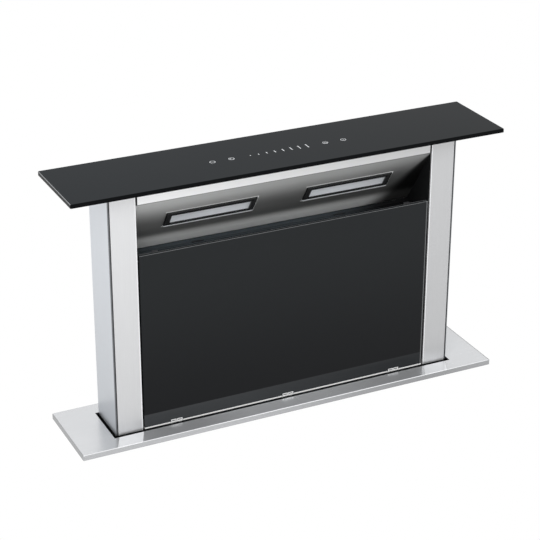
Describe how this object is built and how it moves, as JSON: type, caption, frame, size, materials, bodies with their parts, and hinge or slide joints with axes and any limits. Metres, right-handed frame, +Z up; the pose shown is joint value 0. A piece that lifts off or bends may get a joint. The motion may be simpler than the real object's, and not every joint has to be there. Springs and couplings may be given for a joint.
{
  "type": "downdraft vent",
  "caption": "Downdraft extractor that rises from a slot in the worktop, with a tilting front glass over grease filters, a rack-and-pinion lift and a blower with a flapped outlet.",
  "frame": {"origin": "centre of the trim plate's underside, on the worktop's surface", "axes": "+Z up, the way the riser rises; -Y towards the cook, the side the front glass is on; +X to the cook's right"},
  "size_m": [0.6, 0.2603, 1.0495],
  "materials": {
    "brushed_trim": "brushed along its length",
    "galvanised": "spangled zinc",
    "zinc_screw": "bright zinc",
    "bright_steel": "bright",
    "inner_steel": "satin",
    "cast_aluminium": "as cast",
    "black_plastic": "fine grain",
    "grey_plastic": "fine grain",
    "black_glass": "gloss",
    "black_metal": "matt",
    "satin_steel": "satin",
    "bezel_steel": "satin",
    "lens": "opal",
    "filter_steel": "satin",
    "magnet": "dark",
    "white_acetal": "smooth"
  },
  "bodies": {
    "housing": {"trim_plate": "brushed_trim", "housing_front": "galvanised", "housing_rear": "galvanised", "housing_side_left": "galvanised", "housing_side_right": "galvanised", "housing_base": "galvanised", "worktop_clamps": "galvanised", "clamp_screws": "zinc_screw", "guide_rail_left": "bright_steel", "guide_rail_right": "bright_steel", "rack_left": "inner_steel", "rack_right": "inner_steel", "blower_casing": "galvanised", "blower_inlet_plate": "galvanised", "blower_motor": "cast_aluminium", "outlet_spigot": "black_plastic", "damper_pin": "bright_steel", "control_box": "black_plastic", "control_box_lid": "grey_plastic", "cable_gland": "black_plastic"},
    "riser": {"lid_glass": "black_glass", "lid_carrier": "black_metal", "touch_module": "black_plastic", "front_rail": "satin_steel", "light_panel": "satin_steel", "lamp_bezel_left": "bezel_steel", "lamp_bezel_right": "bezel_steel", "lamp_lens_left": "lens", "lamp_lens_right": "lens", "side_panel_left": "satin_steel", "side_panel_right": "satin_steel", "front_cover_left": "satin_steel", "front_cover_right": "satin_steel", "column_frame_left": "black_metal", "column_frame_right": "black_metal", "end_cheek_left": "black_metal", "end_cheek_right": "black_metal", "rear_panel": "satin_steel", "lower_apron": "black_metal", "chassis_base": "galvanised", "filter_frame": "black_metal", "grease_filter_left": "filter_steel", "grease_filter_right": "filter_steel", "glass_catches": "magnet", "hinge_pins": "bright_steel", "guide_shoes": "white_acetal", "shaft_bearings": "white_acetal", "lift_gearmotor": "cast_aluminium"},
    "glass_door": {"front_glass": "black_glass", "glass_channel": "bright_steel", "glass_clips": "bright_steel", "strike_plates": "bright_steel"},
    "lift_shaft": {"lift_shaft": "bright_steel", "lift_pinions": "white_acetal"},
    "filter_latch_left": {"filter_latch_left": "black_plastic"},
    "filter_latch_right": {"filter_latch_right": "black_plastic"},
    "fan": {"impeller": "galvanised"},
    "damper_flap_front": {"damper_flap_front": "grey_plastic"},
    "damper_flap_rear": {"damper_flap_rear": "grey_plastic"}
  },
  "joints": [
    {"name": "riser_lift", "type": "slide", "parent": "housing", "child": "riser", "axis": [0, 0, 1], "range_m": [-0.3352, 0]},
    {"name": "lift_shaft_turn", "type": "hinge", "parent": "riser", "child": "lift_shaft", "pos_m": [0, 0.019, -0.11], "axis": [1, 0, 0], "range_deg": [-5, 1300]},
    {"name": "glass_tilt", "type": "hinge", "parent": "riser", "child": "glass_door", "pos_m": [0, -0.0282, 0.0077], "axis": [1, 0, 0], "range_deg": [0, 50]},
    {"name": "filter_latch_left_slide", "type": "slide", "parent": "riser", "child": "filter_latch_left", "axis": [0, -0.1788, -0.9839], "range_m": [0, 0.005], "stiffness_N_per_m": 300, "springref_m": -0.004},
    {"name": "filter_latch_right_slide", "type": "slide", "parent": "riser", "child": "filter_latch_right", "axis": [0, -0.1788, -0.9839], "range_m": [0, 0.005], "stiffness_N_per_m": 300, "springref_m": -0.004},
    {"name": "fan_spin", "type": "hinge", "parent": "housing", "child": "fan", "pos_m": [-0.04, -0.0892, -0.52], "axis": [0, -1, 0], "continuous": true},
    {"name": "damper_front_swing", "type": "hinge", "parent": "housing", "child": "damper_flap_front", "pos_m": [0.181, -0.1242, -0.614], "axis": [0, 0, 1], "range_deg": [0, 80], "stiffness_Nm_per_rad": 0.02, "springref_deg": -17.19},
    {"name": "damper_rear_swing", "type": "hinge", "parent": "housing", "child": "damper_flap_rear", "pos_m": [0.181, -0.1242, -0.614], "axis": [0, 0, -1], "range_deg": [0, 80], "stiffness_Nm_per_rad": 0.02, "springref_deg": -17.19}
  ],
  "couplings": [
    {"joint": "lift_shaft_turn", "follows": "riser_lift", "rad_per_m": -66.667}
  ]
}
